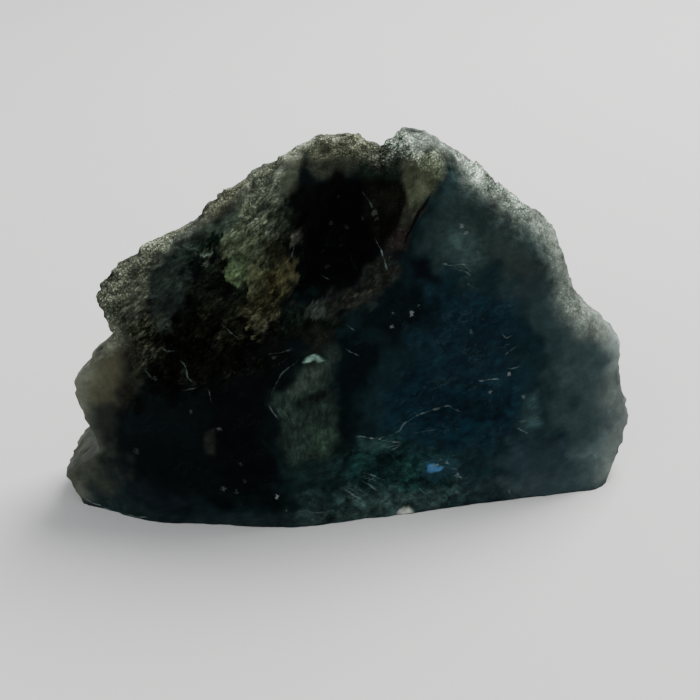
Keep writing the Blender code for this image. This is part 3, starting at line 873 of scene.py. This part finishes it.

# %% [markdown]
# ## Fine lines and specks
#
# Light catches on the edges of tiny splits, and they are thinner than a square of the mesh. The
# light lines and specks are painted highlights that stand for that caught light. What is kept at
# each point is the distance to the nearest line. It changes evenly from point to point, so the
# material can cut a line of any width out of it.

# %% Lines, with how bright each is, and specks, with their radius and brightness
LINE_WAVE = 0.25  # millimetres that a line wavers for each unit of noise
LINES = [
    (0.5, [
        (7.1, 20.6), (10, 20.5), (11.9, 21.5), (13.3, 23.1), (16.2, 24.8), (19.1, 25.4),
        (21.5, 25.9), (23.4, 26.2), (25.4, 24.9), (27.9, 23.9)]),
    (0.35, [(14.8, 20.2), (18, 20.5), (21.6, 20.6)]),
    (0.9, [(30.5, 31.6), (33.5, 31.5), (35.9, 31.5)]),
    (0.5, [(36.8, 34.1), (38.8, 33.9), (40.7, 34.2)]),
    (0.5, [(36.9, 37.3), (38.6, 38.3), (40, 39.2)]),
    (0.6, [(40.5, 18.6), (42, 17.6), (43.6, 16.6)]),
    (0.4, [(40.9, 20.6), (43.9, 19.9), (46.4, 20.9)]),
    (0.5, [(-1.1, 48.7), (1.1, 46.8)]),
    (0.4, [(-1.2, 43), (1.9, 41)]),
    (0.9, [(-1.2, 8.2), (0.5, 6.7), (2.7, 4.9), (3.4, 2.2)]),
    (0.8, [(2.6, 9.8), (4.6, 8.5), (6.5, 6.7)]),
    (0.8, [(2.6, 12.1), (5.3, 10.7), (8.2, 9.3)]),
    (0.9, [(1.4, 21.1), (5.9, 20.3), (12.4, 18.2)]),
    (0.8, [(21.3, 60.7), (23, 59.9), (25.3, 60.1), (27.4, 59.5)]),
    (0.6, [(24.2, 59.1), (26.3, 58.2), (28, 57.3)]),
    (0.35, [(26.9, 55.6), (29.8, 53.9)]),
    (0.4, [(2.4, 77.8), (4, 75.9), (5.1, 74)]),
    (0.9, [(5.6, 68), (6.8, 65.4), (7.7, 63.1), (7.9, 61.7), (8.6, 60.2)]),
    (0.35, [(-12.1, 67.4), (-12.6, 65.4), (-13.3, 63.7)]),
    (0.4, [(-18.7, 43.2), (-15.9, 43.9), (-13.2, 44.1)]),
    (0.35, [(-43.3, 43.5), (-41.9, 42.3), (-40, 42.9)]),
    (0.35, [(-48.5, 41.9), (-46.6, 40.3), (-47.2, 38.2), (-45.8, 36.1)]),
    (0.6, [(-39.1, 40.8), (-37.5, 39.3), (-37, 37.2), (-35, 35.2)]),
    (0.4, [(-38.3, 34.1), (-35, 35.2)]),
    (0.5, [(-33.2, 35), (-32.3, 34.6), (-31.9, 31.6)]),
    (0.5, [(-29.2, 49.5), (-26.9, 47.6), (-25.1, 46.2)]),
    (1, [(-66.6, 2), (-63.5, 0.8), (-60.4, 0.3), (-57.8, -0.1)]),
    (0.8, [(-55.7, 0.1), (-52.3, 0.2), (-48.9, 0.6)]),
    (0.4, [(-6.5, 60.5), (-4.5, 59.4)]),
    (0.5, [(-27, 64.5), (-25.6, 61.7), (-24.5, 58.5)]),
    (0.4, [(36, 42.5), (37, 41.2), (38.2, 41.8)]),
    (0.4, [(-16.6, 31.1), (-15.3, 29.3), (-14.4, 28.2)]),
    (0.4, [(-11.5, 4.2), (-8.6, 3.1), (-5.8, 2.9)]),
    (0.6, [(0.2, 4.9), (3.1, 2.2)]),
    (0.5, [(8.1, 16.5), (10.5, 16.9), (12, 17.7)]),
    (0.9, [(19.4, 11.4), (21.1, 11.7), (22.6, 10.5)]),
    (0.9, [(24.3, 10.3), (26.1, 9.5)]),
    (0.9, [(25.4, 7.8), (27.7, 7.2)]),
    (0.6, [(16.8, 6.1), (18.5, 4.5)]),
    (0.3, [(-18.4, 33.5), (-17, 36.4), (-14.7, 39.3), (-11.5, 41.8)]),
    (0.5, [(-18.9, 31.5), (-18, 29.6), (-16.3, 27.4)]),
    (0.9, [(-10.1, 41.9), (-8.3, 42.1), (-6.7, 40.8)]),
]  # fmt: skip
SPECKS = [
    (14.3, 49.7, 0.7, 0.72), (15.7, 51.2, 0.6, 0.48), (9.9, 50.2, 0.6, 0.4), (9.5, 47.1, 0.6, 0.48),
    (38.1, 32.5, 0.6, 0.72), (-30.6, 24.9, 0.7, 0.27), (-24.8, 28.6, 0.4, 0.12),
    (-36.9, 29.2, 0.6, 0.16), (-51, 17.7, 1, 0.1), (-27.8, 17.9, 0.4, 0.1), (-25.7, 16.2, 0.6, 0.12),
    (-30, 9.6, 0.8, 0.31), (-27.1, 8.9, 0.7, 0.14), (-24.9, 11.8, 0.6, 0.12), (-15, 4.6, 0.4, 0.39),
    (-14.6, 27.2, 0.4, 0.39), (-2.7, 76.7, 0.4, 0.07), (-4.2, 71.3, 0.6, 0.08),
    (-0.7, 70.5, 0.6, 0.07), (-2, 66.6, 0.4, 0.11), (-5.2, 62, 0.7, 0.05), (5.6, 73.3, 0.8, 0.23),
    (6, 72, 0.6, 0.16), (-45.1, 36.6, 0.7, 0.2), (25.5, 68.8, 0.6, 0.56), (26.5, 67.1, 0.6, 0.4),
    (26.4, 8.2, 0.6, 0.64), (23.6, 11.9, 0.6, 0.72), (21.8, 12.9, 0.6, 0.64), (39.4, 2.2, 0.6, 0.4),
    (-17.3, 42.6, 0.6, 0.2), (-21.9, 42.7, 0.4, 0.16), (26, 3.5, 0.6, 0.4), (33.6, 28.5, 0.6, 0.4),
    (41.8, 26.5, 0.6, 0.4), (28.2, 44, 0.6, 0.32), (0, 73.2, 0.4, 0.14), (2.7, 72, 0.4, 0.14),
    (-17.4, 7.9, 0.7, 0.9),
]  # fmt: skip
SCRATCHED = [
    (-10, -2), (-8, 24), (4, 20), (10, 34), (14, 50), (20, 60), (34, 56), (36, 40), (40, 12), (34, -2),
]  # fmt: skip
print(len(LINES), "lines and", len(SPECKS), "specks")

# %% Distances to the lines, the specks and the crack
# How wide the painted shadow beside the step is, along the fracture from the top down.
CRACK_AT, CRACK_SHADOW_WIDTH = (0.0, 0.20, 0.40, 0.60, 0.85, 1.0), (0.0, 0.03, 0.20, 0.28, 0.14, 0.0)
FAR = 20.0

line_gap, line_light = np.full(len(x), FAR), np.zeros(len(x))
for light, line in LINES:
    signed, along = side_of(line, x + LINE_WAVE * fine_x, z + LINE_WAVE * fine_z)
    closer = np.abs(signed) < np.abs(line_gap)
    line_gap = np.where(closer, signed, line_gap)
    line_light = np.where(closer, light * (1 - np.abs(2 * along - 1) ** 3), line_light)
speck_gap, speck_light = np.full(len(x), FAR), np.zeros(len(x))
for speck_x, speck_z, radius, light in SPECKS:
    gap = np.hypot(x - speck_x, z - speck_z) - radius
    closer = gap < speck_gap
    speck_gap = np.where(closer, gap, speck_gap)
    speck_light = np.where(closer, light, speck_light)
crack_gap, down_crack = side_of(FRACTURE, x + STEP_WAVE * fine_x, z + STEP_WAVE * fine_z)
crack_shadow_width = np.interp(down_crack, CRACK_AT, CRACK_SHADOW_WIDTH)
print(int((np.abs(line_gap) < 0.3).sum()), "points lie within 0.3 mm of a line")

# %% Masks that the material reads
MASKS = {
    "grain": grain,
    "broken": np.maximum(broken, 0.6 * (back + rim * (1 - grain))),
    "glass": np.clip((1 - 1.4 * grain) * (1 - broken), 0, 1),
    "back": back,
    "line_gap": line_gap,
    "line_light": line_light * front,
    "speck_gap": speck_gap,
    "speck_light": speck_light * front,
    "crack_gap": np.clip(crack_gap, -FAR, FAR),
    "crack_shadow_width": crack_shadow_width * front,
    "scratched": patch(SCRATCHED, 6.0) * front,
    "combed": combed,
    "flaked": patch(FLAKE, 2.0) * front,
}
print("masks:", ", ".join(MASKS))

# %% [markdown]
# ## The mesh
#
# The points and squares go into one mesh, in metres. The masks and the tint go with them as
# attributes, which the material reads by name, so that no picture has to be wrapped round the
# stone. The new stone rides the frame's body and stands in for the frame's plain solid.

# %% Build the mesh
mesh = bpy.data.meshes.new("labradorite_chunk")
mesh.vertices.add(len(surface))
mesh.vertices.foreach_set("co", (surface * MM).astype(np.float32).ravel())
mesh.loops.add(squares.size)
mesh.loops.foreach_set("vertex_index", squares.astype(np.int32).ravel())
mesh.polygons.add(len(squares))
mesh.polygons.foreach_set("loop_start", np.arange(0, squares.size, 4, dtype=np.int32))
mesh.update(calc_edges=True)
mesh.validate()
mesh.shade_smooth()
for name, mask in MASKS.items():
    layer = mesh.attributes.new(name, "FLOAT", "POINT")
    layer.data.foreach_set("value", mask.astype(np.float32))
layer = mesh.attributes.new("tint", "FLOAT_COLOR", "POINT")
opaque = np.column_stack([np.clip(tint, 0, 1), np.ones(len(tint))])
layer.data.foreach_set("color", opaque.astype(np.float32).ravel())
stone = bpy.data.objects.new("labradorite_chunk", mesh)
bpy.context.scene.collection.objects.link(stone)
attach(stone, "root")
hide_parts("labradorite_stone")
print("stone:", len(mesh.vertices), "points,", len(mesh.polygons), "squares")

# %% [markdown]
# ## The node groups
#
# The tints on the points give the broad colours, and nodes add what is finer than a square of the
# mesh. Three effects come back in several places, so each is a node group with named inputs, built
# once: a mottle that lightens and darkens, granules for the sugary parts, and veins.


# %% Node helpers
def add_node(tree, kind, settings=None, **inputs):
    """A node of this kind, with settings on it and values or links on its inputs."""
    node = tree.nodes.new(kind)
    for name, value in (settings or {}).items():
        setattr(node, name, value)
    for name, value in inputs.items():
        socket = node.inputs[int(name[1:]) if name[1:].isdigit() else name.replace("_", " ")]
        if isinstance(value, bpy.types.NodeSocket):
            tree.links.new(value, socket)
        else:
            socket.default_value = value
    return node


def math_node(tree, operation, a, b=0.0, c=0.0, clamp=False):
    """One step of arithmetic on numbers or sockets."""
    settings = {"operation": operation, "use_clamp": clamp}
    return add_node(tree, "ShaderNodeMath", settings, _0=a, _1=b, _2=c).outputs[0]


def spread(tree, value, low, high, to_low=0.0, to_high=1.0):
    """A smooth s-curve from one range to another."""
    settings = {"interpolation_type": "SMOOTHSTEP"}
    ends = {"From_Min": low, "From_Max": high, "To_Min": to_low, "To_Max": to_high}
    return add_node(tree, "ShaderNodeMapRange", settings, Value=value, **ends).outputs["Result"]


def mixed(tree, share, under, over, blend="MIX"):
    """Two colours, mixed or multiplied."""
    settings = {"data_type": "RGBA", "blend_type": blend}
    return add_node(tree, "ShaderNodeMix", settings, _0=share, _6=under, _7=over).outputs[2]


def noise(tree, place, scale, detail=4.0, roughness=0.6):
    """Noise from 0 to 1 around a half."""
    inputs = {"Vector": place, "Scale": scale, "Detail": detail, "Roughness": roughness}
    return add_node(tree, "ShaderNodeTexNoise", **inputs).outputs["Fac"]


def new_group(name, inputs, outputs):
    """An empty group with sockets of these names and kinds, and its two end nodes."""
    group = bpy.data.node_groups.new(name, "ShaderNodeTree")
    for title, kind in inputs.items():
        group.interface.new_socket(title, in_out="INPUT", socket_type="NodeSocket" + kind)
    for title, kind in outputs.items():
        group.interface.new_socket(title, in_out="OUTPUT", socket_type="NodeSocket" + kind)
    return group, group.nodes.new("NodeGroupInput"), group.nodes.new("NodeGroupOutput")


print("node groups before the stone's own:", len(bpy.data.node_groups))

# %% Group: a mottle that multiplies a colour
mottle_group, into, out = new_group(
    "mottle",
    {"Color": "Color", "Place": "Vector", "Grain": "Float", "Low": "Float", "High": "Float"},
    {"Color": "Color"},
)
color, where, fineness, low, high = into.outputs[:5]
bits = noise(mottle_group, where, fineness, 5.0, 0.65)
factor = spread(mottle_group, bits, 0.28, 0.72, low, high)
grey = add_node(mottle_group, "ShaderNodeCombineColor", Red=factor, Green=factor, Blue=factor)
result = mixed(mottle_group, 1.0, color, grey.outputs["Color"], "MULTIPLY")
mottle_group.links.new(result, out.inputs["Color"])
print("mottle:", len(mottle_group.nodes), "nodes")

# %% Group: granules, as a factor from dark green gaps to pale tops, and as a height
GAP_FACTOR, TOP_FACTOR = (0.12, 0.17, 0.14, 1.0), (2.90, 2.85, 2.75, 1.0)
GLINT_FACTOR = (3.6, 3.6, 3.5, 1.0)
granule_group, into, out = new_group(
    "granules", {"Place": "Vector", "Size": "Float"}, {"Factor": "Color", "Height": "Float"}
)
where, size = into.outputs[:2]
scale = math_node(granule_group, "DIVIDE", 1.0, size)
fine = noise(granule_group, where, scale, 6.0, 0.74)
wide = noise(granule_group, where, math_node(granule_group, "MULTIPLY", scale, 0.3), 3.0)
cells = add_node(granule_group, "ShaderNodeTexVoronoi", Vector=where, Scale=scale)
level = math_node(granule_group, "MULTIPLY_ADD", wide, 0.28, fine)
level = math_node(granule_group, "MULTIPLY_ADD", cells.outputs["Distance"], -0.25, level)
level = spread(granule_group, level, 0.43, 0.72)
factor_color = mixed(granule_group, level, GAP_FACTOR, TOP_FACTOR)

# A glint is a dot in the middle of a cell whose own red number happens to be high.
glint_scale = math_node(granule_group, "MULTIPLY", scale, 0.75)
glints = add_node(granule_group, "ShaderNodeTexVoronoi", Vector=where, Scale=glint_scale)
lucky = add_node(granule_group, "ShaderNodeSeparateColor", Color=glints.outputs["Color"])
lucky = spread(granule_group, lucky.outputs["Red"], 0.74, 0.80)
dot = spread(granule_group, glints.outputs["Distance"], 0.42, 0.22)
glint = math_node(granule_group, "MULTIPLY", lucky, dot)
factor_color = mixed(granule_group, glint, factor_color, GLINT_FACTOR)
granule_group.links.new(factor_color, out.inputs["Factor"])
granule_group.links.new(level, out.inputs["Height"])
print("granules:", len(granule_group.nodes), "nodes")

# %% Group: veins, the thin winding lines where noise crosses its middle, in scattered places
vein_group, into, out = new_group(
    "veins",
    {"Place": "Vector", "Size": "Float", "Width": "Float", "Share": "Float"},
    {"Mask": "Float"},
)
where, size, width, share = into.outputs[:4]
scale = math_node(vein_group, "DIVIDE", 1.0, size)
level = math_node(vein_group, "SUBTRACT", noise(vein_group, where, scale, 4.0, 0.62), 0.5)
on_vein = spread(vein_group, math_node(vein_group, "ABSOLUTE", level), width, 0.0)
wide_scale = math_node(vein_group, "MULTIPLY", scale, 0.55)
seldom = noise(vein_group, where, wide_scale, 3.0, 0.6)
seldom = spread(vein_group, math_node(vein_group, "SUBTRACT", seldom, share), 0.0, 0.07)
vein_group.links.new(math_node(vein_group, "MULTIPLY", on_vein, seldom), out.inputs["Mask"])
print("veins:", len(vein_group.nodes), "nodes")

# %% [markdown]
# ## The finish
#
# Split feldspar is dark and a little glossy, and its marks run along its cleavage, so most of them
# are long and lean one way. A pattern is drawn out by reading it at squeezed and turned places:
# one set of places for each kind of mark. They all start from Object coordinates, in millimetres,
# so that the pattern stays with the stone when it is turned or moved.

# %% The stone's finish: where it is read, and helpers that place the groups
MARKS = {  # how far each kind of mark leans, in degrees, and how long it is drawn out
    "streak": (-14, 4.5),
    "scratch": (-24, 2.2),
    "torn": (-48, 3.0),
    "combed": (36, 3.2),
    "flaked": (-84, 3.5),
}
PLAIN_GLOSS, COAT_ROUGHNESS = 0.015, 0.35
PER_METRE = (1 / MM, 1 / MM, 1 / MM)
TORN_EDGE_COLOR = (0.060, 0.064, 0.046, 1.0)
HAIRLINE_COLOR = (0.030, 0.055, 0.052, 1.0)
SCRATCH_COLOR = (0.045, 0.085, 0.088, 1.0)
# Painted highlights: the light caught on split edges, drawn as lines and specks.
LINE_HIGHLIGHT_COLOR = (0.110, 0.150, 0.140, 1.0)
SPECK_HIGHLIGHT_COLOR = (0.150, 0.175, 0.165, 1.0)
# The painted shadow beside the step under the crown.
CRACK_SHADOW_COLOR = (0.0003, 0.0006, 0.0006, 1.0)

finish = bpy.data.materials.new("labradorite")
finish.use_nodes = True
tree = finish.node_tree
shader = tree.nodes["Principled BSDF"]
shader.inputs["Specular IOR Level"].default_value = PLAIN_GLOSS
shader.inputs["Coat Roughness"].default_value = COAT_ROUGHNESS
coordinates = add_node(tree, "ShaderNodeTexCoord")
in_metres = coordinates.outputs["Object"]
place = add_node(tree, "ShaderNodeMapping", Vector=in_metres, Scale=PER_METRE).outputs["Vector"]
streak_place, scratch_place, torn_place, combed_place, flaked_place = (
    add_node(
        tree,
        "ShaderNodeMapping",
        {"vector_type": "TEXTURE"},
        Vector=place,
        Rotation=(0.0, math.radians(tilt), 0.0),
        Scale=(length, 1.0, 1.0),
    ).outputs["Vector"]
    for tilt, length in MARKS.values()
)


def mask_of(name, output="Fac"):
    """A number, or with the output Color a colour, that is kept on the points."""
    return add_node(tree, "ShaderNodeAttribute", {"attribute_name": name}).outputs[output]


def group_node(group, **inputs):
    """A node group, placed in the stone's material."""
    return add_node(tree, "ShaderNodeGroup", {"node_tree": group}, **inputs)


def mottled(color, where, size, low, high):
    """The colour, lightened and darkened in clouds of this many millimetres."""
    node = group_node(mottle_group, Color=color, Place=where, Grain=1 / size, Low=low, High=high)
    return node.outputs["Color"]


def veins(where, size, width, share):
    """Thin winding lines this far apart, where a wide noise is above a share."""
    inputs = {"Place": where, "Size": size, "Width": width, "Share": share}
    return group_node(vein_group, **inputs).outputs["Mask"]


def times(a, b):
    """One number times another."""
    return math_node(tree, "MULTIPLY", a, b)


print("marks:", ", ".join(MARKS))

# %% The face: clouds, mottle, streaks and granules
tint_color = mask_of("tint", "Color")
face = mottled(tint_color, place, 9.0, 0.74, 1.30)
face = mottled(face, place, 2.2, 0.70, 1.36)
face = mottled(face, streak_place, 0.9, 0.84, 1.18)
for mask, where, size, low, high in (
    ("broken", torn_place, 0.8, 0.45, 1.70),
    ("scratched", scratch_place, 1.3, 0.62, 1.50),
    ("combed", combed_place, 1.5, 0.62, 1.45),
    ("flaked", flaked_place, 0.8, 0.56, 1.58),
):
    face = mixed(tree, mask_of(mask), face, mottled(face, where, size, low, high))
busy = spread(tree, mask_of("grain"), 0.0, 0.25, 0.40, 1.0)
face = mixed(tree, busy, tint_color, face)
granules = group_node(granule_group, Place=place, Size=0.48)
torn_granules = group_node(granule_group, Place=torn_place, Size=0.75)
factor = mixed(
    tree, mask_of("broken"), granules.outputs["Factor"], torn_granules.outputs["Factor"]
)
grainy = mixed(tree, 1.0, face, factor, "MULTIPLY")
color = mixed(tree, times(mask_of("grain"), mask_of("grain")), face, grainy)
print("face:", len(tree.nodes), "nodes so far")

# %% Veins: bright torn edges in the broken zone and hairlines on the glassy face
broken_mask, glass_mask = mask_of("broken"), mask_of("glass")
edges_torn = times(times(veins(place, 2.6, 0.035, 0.50), broken_mask), granules.outputs["Height"])
color = mixed(tree, times(edges_torn, 0.42), color, TORN_EDGE_COLOR)
hairlines = times(veins(scratch_place, 3.0, 0.010, 0.53), glass_mask)
color = mixed(tree, times(hairlines, 0.15), color, HAIRLINE_COLOR)
scratches = times(veins(scratch_place, 2.0, 0.022, 0.52), mask_of("scratched"))
combed_lines = times(veins(combed_place, 1.8, 0.030, 0.50), mask_of("combed"))
scratches = math_node(tree, "MAXIMUM", scratches, combed_lines)
color = mixed(tree, times(scratches, 0.28), color, SCRATCH_COLOR)
print("veins:", len(tree.nodes), "nodes so far")

# %% [markdown]
# ## Cutting the lines out
#
# A line is drawn where its distance, kept on the points, is under half its width. Noise makes the
# width come and go, as on a real split edge, and pushes the round specks out of shape. The dark
# line beside the step under the crown is cut the same way: a painted shadow, almost black, where
# the proud strip shades the lower ground just right of it.

# %% Lines, specks and the shadow of the step
# Painted highlights along the lines and on the specks, mixed into the colour.
line_width = spread(tree, noise(tree, place, 0.55, 3.0), 0.42, 0.62, 0.0, 0.20)
line_gap_size = math_node(tree, "ABSOLUTE", mask_of("line_gap"))
on_line = spread(tree, math_node(tree, "SUBTRACT", line_gap_size, line_width), 0.10, -0.06)
line_mask = times(on_line, mask_of("line_light"))
color = mixed(tree, line_mask, color, LINE_HIGHLIGHT_COLOR)
speck_noise = noise(tree, place, 1.5, 4.0, 0.7)
speck_edge = math_node(tree, "MULTIPLY_ADD", speck_noise, 2.6, mask_of("speck_gap"))
on_speck = spread(tree, speck_edge, 1.20, 1.00)
color = mixed(tree, times(on_speck, mask_of("speck_light")), color, SPECK_HIGHLIGHT_COLOR)
# Painted shadow: a nearly black band just right of the step under the crown.
crack_noise, crack_shadow_width = noise(tree, place, 0.8, 4.0, 0.6), mask_of("crack_shadow_width")
crack_off = math_node(tree, "MULTIPLY_ADD", crack_noise, 0.5, mask_of("crack_gap"))
crack_off = math_node(tree, "ABSOLUTE", math_node(tree, "SUBTRACT", crack_off, 0.45))
crack_off = math_node(tree, "SUBTRACT", crack_off, crack_shadow_width)
in_crack_shadow = times(spread(tree, crack_off, 0.10, -0.12), spread(tree, crack_shadow_width, 0.02, 0.10))
color = mixed(tree, times(in_crack_shadow, 0.88), color, CRACK_SHADOW_COLOR)
tree.links.new(color, shader.inputs["Base Color"])
print("lines:", len(tree.nodes), "nodes so far")

# %% [markdown]
# ## Gloss
#
# The sugary crust scatters light and is dull, and a fresh split shines softly. So the roughness
# follows the grain, and a thin clear coat lies on the glassy parts only. A small bump adds relief
# that is finer than the mesh: granules on the crust and a faint unevenness everywhere.

# %% Gloss and the finest relief
SPLIT_ROUGHNESS, CRUST_ROUGHNESS = 0.50, 0.92
FRONT_COAT, BACK_COAT = 0.03, 0.25
BUMP_HEIGHT = 0.4 * MM

grain_mask = mask_of("grain")
roughness = spread(tree, grain_mask, 0.0, 1.0, SPLIT_ROUGHNESS, CRUST_ROUGHNESS)
tree.links.new(roughness, shader.inputs["Roughness"])
coat = times(glass_mask, spread(tree, mask_of("back"), 0.0, 1.0, FRONT_COAT, BACK_COAT))
tree.links.new(coat, shader.inputs["Coat Weight"])
grain_height = times(granules.outputs["Height"], grain_mask)
face_height = times(noise(tree, place, 1 / 1.4, 6.0, 0.7), 0.5)
height = math_node(tree, "ADD", grain_height, face_height)
bump = add_node(tree, "ShaderNodeBump", Height=height, Strength=0.8, Distance=BUMP_HEIGHT)
tree.links.new(bump.outputs["Normal"], shader.inputs["Normal"])
mesh.materials.append(finish)
print("material", finish.name, "has", len(tree.nodes), "nodes")
